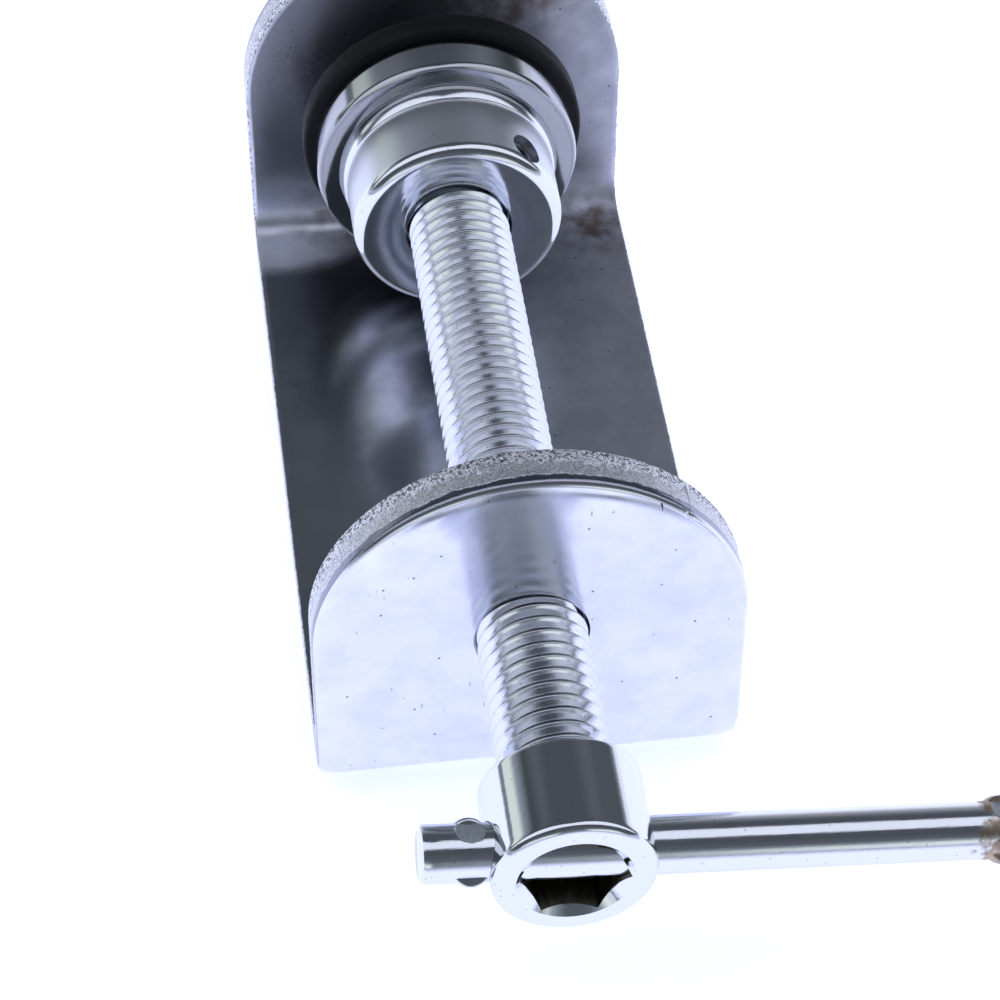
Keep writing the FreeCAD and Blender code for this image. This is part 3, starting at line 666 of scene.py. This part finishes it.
        # The outside has to face down under the web before the wall gets its thickness.
        edit(obj)
        bpy.ops.mesh.select_all(action="SELECT")
        faces = bmesh.from_edit_mesh(obj.data).faces
        web_face = next(f for f in faces if abs(f.calc_center_median().z) < NEAR)
        if web_face.normal.z > 0:
            bpy.ops.mesh.flip_normals()
        clear_selection()
        return obj

    @staticmethod
    def skin(co, s):
        """How deep a point lies under the C's outside, and the outside's direction there."""
        bend_y = s.half_span - s.bend_radius
        side = math.copysign(1, co.y)
        if co.z >= s.bend_radius:
            return s.half_span - abs(co.y), Vector((0, side, 0))
        if abs(co.y) <= bend_y:
            return co.z, Vector((0, 0, -1))
        out = Vector((0, abs(co.y) - bend_y, co.z - s.bend_radius))
        return s.bend_radius - out.length, Vector((0, side * out.y, out.z)) / out.length

    def drawn_in(self, gap):
        """How far in mm the outer face is drawn in at gap mm inside the outline, and 0 outside it."""
        for (near, first), (far, second) in zip(self.DRAW_IN, self.DRAW_IN[1:]):
            if near <= gap < far:
                return first + (second - first) * (gap - near) / (far - near)
        return 0.0

    @staticmethod
    def outline_gap(co, s):
        """How far a point is inside the strip's outline."""
        if co.z > s.axis_height:
            return s.half_width - off_axis(co, s)
        return s.half_width - abs(co.x)

    def on_outline(self, edge, s):
        """Whether an edge lies on the strip's outline."""
        return all(self.outline_gap(v.co, s) < 2 * NEAR for v in edge.verts)


class CLAMP_OT_screw(bpy.types.Operator):
    """Models the clamp screw: socket head with its cross hole, rolled thread and the grooved journal"""

    bl_idname = "clamp.screw"
    bl_label = "Clamp screw"

    CORE, JOURNAL = 4.7, 4.96  # mm, radii of the blank inside the thread and of the journal
    # y and radius in mm: the groove between two stretches of the journal, and the journal's rounded end.
    GROOVE = ((17.85, JOURNAL), (17.85, 4.0), (20.85, 4.0), (20.85, JOURNAL))
    JOURNAL_END = ((26.25, JOURNAL), (28.2, 4.3), (29.0, 3.0), (29.25, 0))
    FRONT_EDGE, BACK_EDGE = (1.05 * MM, 8), (0.35 * MM, 4)  # width and steps of the head's roundings
    SOCKET = 5 * MM / math.cos(math.pi / 6)  # radius to the corners of a hexagon 10 mm across its flats
    SOCKET_DEPTH = 6 * MM
    # Half of the thread's section: the share of a pitch along it, and of the thread's depth.
    FLANK = (
        *((0.0, 0.0), (0.09, 0.0), (0.125, 0.02), (0.145, 0.07), (0.165, 0.1325)),
        *((0.405, 0.8825), (0.425, 0.945), (0.45, 0.99)),
    )
    SPARE = 3  # turns wound past each end of the thread, and cut off again
    SUNK = 0.6 * MM  # how far the thread starts inside the head

    def execute(self, context):
        s, colours = context.scene.clamp_sizes, context.scene.clamp_colours
        head = self.turned_blank(s)
        # Two of the socket's corners lie along the bar. Its mouth is countersunk.
        middle = along_axis(s, s.head_front + (self.SOCKET_DEPTH - PAST) / 2, math.radians(30) + TILT)
        boolean(head, cylinder(middle, self.SOCKET, self.SOCKET_DEPTH + PAST, 6, ALONG_Y))
        cone = [(-1.0, 0), (-1.0, 7.1), (1.0, 4.9), (1.2, 0)]  # y from the head's front and radius, in mm
        sink = turned("sink", [(s.head_front + y * MM, r * MM) for y, r in cone], 96, s.axis_height)
        boolean(head, sink)
        # The cross hole is rolled a little, so that none of its facets meets one of the socket's.
        crossing = along_axis(s, s.bar_y, TILT) @ Matrix.Rotation(math.radians(1.7), 4, "X")
        boolean(head, cylinder(crossing, s.bar_radius + 0.08 * MM, 30 * MM, 64, ALONG_X))
        boolean(head, self.wound_thread(s), "UNION")

        dull = (-67.7, 18.0, 0.08)
        thread = (s.axis_height, s.root_radius)
        scored = (1.0, 0.15, 1.0)
        finishes = [
            plated_turning("bright_plated_rolled_screw", colours.turned, 0.06, dull=dull, thread=thread),
            # The broached socket, where plating hardly reaches: painted dark as painted shade in the recess,
            # and scored along the stroke.
            grained_steel("broached_oily_socket", "#2E2D26", "#6B6955", 0.3, (0.3, 0.45), 0.02, scored),
        ]
        finish_piece(head, "screw", "clamp_screw", finishes, smooth_under=25)
        # The thread's own edges are rounded ones, all but its cut end.
        mesh = bmesh.new()
        mesh.from_mesh(head.data)
        for e in mesh.edges:
            on_thread = min(v.co.y for v in e.verts) > s.head_back + 5 * NEAR
            if on_thread and e.calc_face_angle(0) < math.radians(50):
                e.smooth = True
        mesh.to_mesh(head.data)
        mesh.free()
        # The socket's inside, down past its floor and the cross hole, gets the socket's painted shade.
        first, last = s.head_front + 0.1 * MM, s.head_front + 7.4 * MM
        paint(head, 1, lambda co: first < co.y < last and off_axis(co, s) < self.SOCKET + 0.056 * MM)
        return {"FINISHED"}

    def turned_blank(self, s):
        """The head and the blank of the shank and the journal, with the head's edges rounded."""
        # A ring behind each rounding keeps the head's side straight in its shading.
        rings = [(s.head_front, 0), (s.head_front, s.head_radius), (s.head_front + 1.3 * MM, s.head_radius)]
        rings += [(s.head_back - 0.6 * MM, s.head_radius), (s.head_back, s.head_radius)]
        shoulder = s.thread_end - 0.2 * MM  # just inside the thread's cut end
        rings += [(s.head_back, self.CORE * MM), (shoulder, self.CORE * MM), (shoulder, self.JOURNAL * MM)]
        rings += [(y * MM, r * MM) for y, r in self.GROOVE + self.JOURNAL_END]
        head = turned("threaded_screw", rings, s.segments, s.axis_height)
        edit(head, "EDGE")
        for y, (width, steps) in ((s.head_front, self.FRONT_EDGE), (s.head_back, self.BACK_EDGE)):
            bpy.ops.mesh.select_all(action="DESELECT")
            select(
                head,
                "edges",
                lambda e: all(
                    abs(v.co.y - y) < NEAR and abs(off_axis(v.co, s) - s.head_radius) < NEAR for v in e.verts
                ),
            )
            bpy.ops.mesh.bevel(offset=width, segments=steps, profile=0.5, affect="EDGES")
        clear_selection()
        return head

    def wound_thread(self, s):
        """The thread: one pitch of its section wound up along the axis, and cut off at both ends."""
        depth = s.crest_radius - s.root_radius
        section = [*self.FLANK, (0.5, 1.0), *((1 - along, out) for along, out in reversed(self.FLANK))]
        thread = line("thread", [(s.root_radius + depth * out, s.pitch * along, 0) for along, out in section])
        start = s.head_back - self.SPARE * s.pitch
        turns = int((s.thread_end - start) / s.pitch) + self.SPARE
        winding = {"axis": "Y", "screw_offset": s.pitch, "iterations": turns, "steps": 56, "render_steps": 56}
        modify(thread, "SCREW", use_merge_vertices=True, merge_threshold=DOUBLE, **winding)
        place(thread, along_axis(s, start))
        tidy(thread)
        edit(thread)
        for y, before in ((s.head_back - self.SUNK, True), (s.thread_end, False)):
            bpy.ops.mesh.select_all(action="SELECT")
            cut = {"plane_co": (0, y, 0), "plane_no": (0, 1, 0), "threshold": 0.0001 * MM}
            bpy.ops.mesh.bisect(use_fill=True, clear_inner=before, clear_outer=not before, **cut)
        bpy.ops.mesh.select_all(action="SELECT")
        bpy.ops.mesh.normals_make_consistent(inside=False)
        clear_selection()
        return thread


class CLAMP_OT_bar(bpy.types.Operator):
    """Models the tommy bar with the staked ears that keep it in the head"""

    bl_idname = "clamp.bar"
    bl_label = "Tommy bar"

    ROLLED = math.radians(36.4)  # about its own axis, from where its ears stand fore and aft
    SLID = 17.22 * MM  # from the middle of the head to the middle of the bar
    STAINED = 7.416 * MM  # length of the stained end
    END_EDGE = 0.45 * MM  # width of the rounding at each end
    FINE_FROM, FINE_TO = 2 * MM, 8 * MM  # from the end, where the rings lie close for the stakes
    STAKE = 5 * MM  # from the end to the middle of each stake
    PUNCH, STRUCK = 3.2 * MM, 0.4 * MM  # radius of the punch, and how deep it struck
    BESIDE = math.radians(42)  # from an ear round the bar to its punch mark
    EAR, EAR_SUNK = 2 * MM, 1.5 * MM  # radius of an ear's round back, and its centre's depth in the bar
    EAR_WIDE, EAR_ASIDE = 2.5 * MM, 0.45 * MM  # between its flat sides, and its shift from the punch mark

    def execute(self, context):
        s, colours = context.scene.clamp_sizes, context.scene.clamp_colours
        half = s.bar_length / 2
        edge = self.END_EDGE
        rings = [(-half, 0), (-half, s.bar_radius - edge), (-half + edge * 0.35, s.bar_radius - edge * 0.3)]
        rings += [(-half + edge, s.bar_radius)]
        steps = 32
        for i in range(steps + 1):
            along = self.FINE_FROM + (self.FINE_TO - self.FINE_FROM) * i / steps
            rings.append((along - half, s.bar_radius))
        rings += [(-y, r) for y, r in reversed(rings)]
        obj = turned("staked_bar", rings, 128)
        # Each end was staked from two sides: a punch struck beside the middle pushed up a flat-sided ear.
        for end in (-1, 1):
            for side in (0, math.pi):
                stake = Matrix.Rotation(side, 4, "Y") @ Matrix.Translation((0, end * (half - self.STAKE), 0))
                beside = stake @ Matrix.Rotation(self.BESIDE, 4, "Y")
                struck = beside @ Matrix.Translation((s.bar_radius + self.PUNCH - self.STRUCK, 0, 0))
                boolean(obj, cylinder(struck, self.PUNCH, 9 * MM))
                raised = stake @ Matrix.Translation((s.bar_radius - self.EAR_SUNK, 0, self.EAR_ASIDE))
                ear = cylinder(raised, self.EAR, self.EAR_WIDE)
                boolean(obj, round_edges(ear, 0.3 * MM, 3, 60), "UNION")
        crushed = []
        for face in obj.data.polygons:
            out = Vector((face.center.x, 0, face.center.z))
            staked = abs(abs(face.center.y) - (half - self.STAKE)) < 2.4 * MM
            sunk = out.length < s.bar_radius - 4 * NEAR
            crushed.append(staked and sunk and face.normal.dot(out.normalized()) > 0.6)
        laid = Matrix.Translation((self.SLID, 0, 0)) @ Matrix.Rotation(-math.pi / 2, 4, "Z")
        place(obj, along_axis(s, s.bar_y, TILT) @ laid @ Matrix.Rotation(self.ROLLED, 4, "Y"))
        stained_from = self.SLID + half - self.STAINED + BAR_AXIS.z * s.axis_height
        finishes = [
            plated_turning("bright_plated_drawn_bar", colours.turned, 0.12, stained_from=stained_from),
            # Where the punch crushed the bar: plated, but grainy and duller than the drawn surface.
            grained_steel("bright_plated_punch_mark", "#DDE2F2", "#9FA79D", 0.35, (0.5, 0.7), 0.03),
        ]
        finish_piece(obj, "bar", "tommy_bar", finishes)
        for face, mark in zip(obj.data.polygons, crushed):
            face.material_index = int(mark)
        return {"FINISHED"}


class CLAMP_OT_pad(bpy.types.Operator):
    """Models the turned swivel pad: a boss with a rounded mouth, a bead and the flange"""

    bl_idname = "clamp.pad"
    bl_label = "Swivel pad"

    FRONT, BOSS, NOSE = 16.15, 12.45, 1.6  # mm: y of the boss's front, its radius, its front's rounding
    # y and radius in mm: the bore from its bottom to its mouth, and the outside from the boss to the back.
    BORE = ((29.55, 0.0), (29.55, 5.05), (17.65, 5.05), (17.65, 6.25), (FRONT, 6.25))
    BOSS_SIDE = ((18.0, BOSS), (25.0, BOSS), (25.25, BOSS))
    BEAD = ((25.3, 12.7), (26.9, 13.2), (27.15, 13.2), (27.35, 13.0))
    FLANGE_FRONT = ((27.35, 15.05), (27.6, 15.5), (28.05, 15.75), (28.25, 15.75))
    FLANGE_BACK = ((31.85, 15.75), (32.05, 15.75), (32.75, 15.05), (32.75, 0.0))
    # Painted shade on the plating at places along y in mm: the step and the flange are painted darker.
    PAINTED_SHADE_BANDS = ((16.0, 1.0), (27.1, 1.0), (27.4, 0.3), (27.7, 0.6), (33.0, 0.5))

    def execute(self, context):
        s, colours = context.scene.clamp_sizes, context.scene.clamp_colours
        nose = []
        for i in range(10, -1, -1):
            angle = math.pi / 2 * i / 10
            y = self.FRONT + self.NOSE * (1 - math.sin(angle))
            nose.append((y, self.BOSS - self.NOSE * (1 - math.cos(angle))))
        outline = (*self.BORE, *nose, *self.BOSS_SIDE, *self.BEAD, *self.FLANGE_FRONT, *self.FLANGE_BACK)
        body = turned("turned_pad", [(y * MM, r * MM) for y, r in outline], s.segments, s.axis_height)
        round_edges(body, 0.18 * MM, 3, 35)
        # The grub screw's hole, from inside the bore to outside the boss.
        boolean(body, cylinder(in_grub_hole(s, 10.4 * MM, "Z"), 2.05 * MM, 12 * MM, 48))
        dull = (17.7, 25.2, 0.27)
        finish = plated_turning("bright_plated_turned_pad", colours.turned, 0.1, bands=self.PAINTED_SHADE_BANDS, dull=dull)
        finish_piece(body, "pad", "pad_body", [finish])
        return {"FINISHED"}


class CLAMP_OT_rubber(bpy.types.Operator):
    """Models the rubber disc behind the pad's flange"""

    bl_idname = "clamp.rubber"
    bl_label = "Rubber disc"

    FRONT, BACK, RADIUS = 32.75 * MM, 35.75 * MM, 17 * MM

    def execute(self, context):
        s, colours = context.scene.clamp_sizes, context.scene.clamp_colours
        rings = [(self.FRONT, 0), (self.FRONT, self.RADIUS), (self.BACK, self.RADIUS), (self.BACK, 0)]
        disc = turned("rubber_disc", rings, s.segments, s.axis_height)
        round_edges(disc, 0.5 * MM, 4)
        finish_piece(disc, "pad", "pad_face", [moulded_rubber(colours.rubber)])
        return {"FINISHED"}


class CLAMP_OT_grub(bpy.types.Operator):
    """Models the socket set screw whose point runs in the journal's groove"""

    bl_idname = "clamp.grub"
    bl_label = "Grub screw"

    # In mm: the distance from the screw's axis and the radius, from the dog point to the outer end.
    RINGS = ((5.35, 0), (5.35, 1.2), (6.6, 1.2), (7.2, 2.0), (11.1, 2.0), (11.45, 1.65), (11.45, 0))
    SOCKET = 1 * MM / math.cos(math.pi / 6)  # radius to the corners of a hexagon 2 mm across its flats
    SOCKET_DEPTH = 2 * MM

    def execute(self, context):
        s = context.scene.clamp_sizes
        grub = turned("grub_screw", [(y * MM, r * MM) for y, r in self.RINGS], 48)
        outer_end = Matrix.Translation((0, self.RINGS[-1][0] * MM, 0))
        boolean(grub, cylinder(outer_end, self.SOCKET, 2 * self.SOCKET_DEPTH, 6, ALONG_Y))
        round_edges(grub, 0.06 * MM, 2)
        place(grub, in_grub_hole(s, 0, "Y"))
        finish = grained_steel("oiled_plain_steel", "#8F9096", "#5A5B62", 1.0, (0.28, 0.42), 0.01)
        finish_piece(grub, "pad", "pad_grub_screw", [finish])
        return {"FINISHED"}


class CLAMP_OT_stage(bpy.types.Operator):
    """Sets out the white floor, the soft studio light and the camera"""

    bl_idname = "clamp.stage"
    bl_label = "Stage"

    WHITE, COOL, GREEN = (1.0, 1.04, 1.2), (0.88, 1.0, 1.16), (0.98, 1.08, 1.02)  # tints
    # Each wall of the studio: the sine of the height above the horizon, the brightness there, and its tint.
    WALLS = {
        "far": (
            *((0.0, 0.95, WHITE), (0.17, 0.93, WHITE), (0.24, 0.55, WHITE), (0.45, 0.3, WHITE)),
            *((0.62, 0.15, COOL), (0.75, 0.09, COOL), (0.92, 0.09, COOL)),
        ),
        "left": (
            *((0.0, 0.22, COOL), (0.06, 0.25, COOL), (0.09, 0.82, GREEN), (0.24, 0.8, GREEN)),
            *((0.33, 0.36, COOL), (0.5, 0.08, COOL), (0.92, 0.08, COOL)),
        ),
        "right": (
            *((0.0, 0.95, WHITE), (0.07, 0.92, WHITE), (0.13, 0.27, COOL)),
            *((0.2, 0.1, COOL), (0.92, 0.11, COOL)),
        ),
        "sides": ((0.0, 0.75, WHITE), (0.03, 0.5, COOL), (0.09, 0.1, COOL), (0.92, 0.09, COOL)),
        "near": (
            *((0.0, 0.3, COOL), (0.14, 0.26, COOL), (0.29, 0.2, COOL)),
            *((0.42, 0.12, COOL), (0.93, 0.1, COOL)),
        ),
        "near_sides": (
            *((0.0, 0.92, WHITE), (0.2, 0.9, GREEN), (0.3, 0.4, COOL)),
            *((0.45, 0.13, COOL), (0.92, 0.1, COOL)),
        ),
    }
    CEILING = (0.94, 0.98, 1.12, 1)
    STRENGTH = 1.06  # of all the studio
    EYE = (-33.25 * MM, -267.87 * MM, 288.68 * MM)  # the camera's place
    HEADING, DOWN, LEAN = -0.1341, 0.8267, 0.0059  # radians: about Z from +Y, below level, on its side
    LENS = 117.7  # mm, on a sensor 36 mm wide

    def execute(self, context):
        scene, colours = context.scene, context.scene.clamp_colours
        clear_selection()
        bpy.ops.mesh.primitive_plane_add(size=8.0)
        floor = bpy.context.object
        floor.name = "floor"
        floor.data.materials.append(white_paper(colours.floor, colours.glow))

        bpy.ops.object.light_add(type="SUN", location=(0, 0, 1))
        sun = bpy.context.object
        sun.name = "overhead_diffuser"
        sun.data.angle = math.radians(120)
        sun.data.energy = 0.95
        sun.visible_glossy = False
        scene.world = self.studio()

        bpy.ops.object.camera_add()
        camera = bpy.context.object
        camera.name = "camera"
        camera.matrix_world = (
            Matrix.Translation(self.EYE)
            @ Matrix.Rotation(self.HEADING, 4, "Z")
            @ Matrix.Rotation(math.pi / 2 - self.DOWN, 4, "X")
            @ Matrix.Rotation(self.LEAN, 4, "Z")
        )
        camera.data.lens = self.LENS
        camera.data.sensor_width = 36
        camera.data.clip_start = 0.01
        camera.data.clip_end = 50
        camera.data.dof.use_dof = False
        scene.camera = camera
        scene.view_settings.view_transform = "Standard"
        return {"FINISHED"}

    def studio(self):
        """The studio as a world: a ceiling diffuser, pale walls low down all round, and dimness between."""
        world = bpy.data.worlds.new("white_studio")
        world.use_nodes = True
        world.node_tree.nodes.clear()
        add = partial(add_node, world.node_tree)
        split = add("SeparateXYZ", (add("TexCoord").outputs["Generated"],))
        x, y, z = (split.outputs[axis] for axis in "XYZ")
        walls = {}
        for name, stops in self.WALLS.items():
            ramp = [(height, (value * r, value * g, value * b, 1)) for height, value, (r, g, b) in stops]
            walls[name] = add("ValToRGB", (z,), ramp=ramp)
        # The near wall is dim in its middle, as where someone stands.
        beside = add("Math", (add("Math", (x, -0.05)),), operation="ABSOLUTE")
        passing = add("MapRange", (beside, 0.13, 0.24), interpolation_type="SMOOTHSTEP")
        both = {"Factor": passing, COLOUR_A: walls["near"], COLOUR_B: walls["near_sides"]}
        walls["near"] = add("Mix", both, data_type="RGBA")
        # Each wall gives way to the next where the direction passes from the first number to the second.
        sky = walls["far"]
        for wall, direction, first, second in (
            ("left", x, -0.38, -0.6),
            ("right", x, 0.38, 0.6),
            ("sides", y, 0.4, 0.25),
            ("near", y, -0.6, -0.78),
        ):
            passing = add("MapRange", (direction, first, second), interpolation_type="SMOOTHSTEP")
            sky = add("Mix", {"Factor": passing, COLOUR_A: sky, COLOUR_B: walls[wall]}, data_type="RGBA")
        # The ceiling diffuser runs from wall to wall, narrow over the clamp and wide at its sides.
        across = add("Math", (x,), operation="ABSOLUTE")
        raised = add("Math", (z, 0.05), operation="MAXIMUM")
        lean = add("Math", (y, raised), operation="DIVIDE")
        widening = add("Math", (across, 0.5), operation="MULTIPLY")
        beyond = add("Math", (lean, widening), operation="SUBTRACT")
        diffuser = add("MapRange", (z, 0.06, 0.14))
        for direction, dark, light in ((lean, -0.36, -0.3), (beyond, 0.16, 0.08)):
            side = add("MapRange", (direction, dark, light))
            diffuser = add("Math", (diffuser, side), operation="MULTIPLY")
        sky = add("Mix", {"Factor": diffuser, COLOUR_A: sky, COLOUR_B: self.CEILING}, data_type="RGBA")
        background = add("Background", {"Color": sky, "Strength": self.STRENGTH})
        add("OutputWorld", {"Surface": background})
        return world


class CLAMP_PT_panel(bpy.types.Panel):
    """Lists the clamp's pieces and their sizes and colours"""

    bl_idname = "CLAMP_PT_panel"
    bl_label = "Table Clamp"
    bl_space_type = "VIEW_3D"
    bl_region_type = "UI"
    bl_category = "Table Clamp"

    def draw(self, context):
        for operator in PIECES:
            self.layout.operator(operator.bl_idname)
        for group in (context.scene.clamp_sizes, context.scene.clamp_colours):
            box = self.layout.box()
            for key in group.__annotations__:
                box.prop(group, key)


PIECES = (
    CLAMP_OT_bracket,
    CLAMP_OT_screw,
    CLAMP_OT_bar,
    CLAMP_OT_pad,
    CLAMP_OT_rubber,
    CLAMP_OT_grub,
    CLAMP_OT_stage,
)
CLASSES = (ClampSizes, ClampColours, *PIECES, CLAMP_PT_panel)


def register():
    """Registers the classes and gives the scene its sizes and colours."""
    for cls in CLASSES:
        bpy.utils.register_class(cls)
    bpy.types.Scene.clamp_sizes = PointerProperty(type=ClampSizes)
    bpy.types.Scene.clamp_colours = PointerProperty(type=ClampColours)


def unregister():
    """Takes back what register did."""
    del bpy.types.Scene.clamp_colours
    del bpy.types.Scene.clamp_sizes
    for cls in reversed(CLASSES):
        bpy.utils.unregister_class(cls)


def main():
    """Models the pieces in order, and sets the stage."""
    register()
    bpy.ops.clamp.bracket()
    bpy.ops.clamp.screw()
    bpy.ops.clamp.bar()
    bpy.ops.clamp.pad()
    bpy.ops.clamp.rubber()
    bpy.ops.clamp.grub()
    bpy.ops.clamp.stage()


if __name__ == "__main__":
    main()
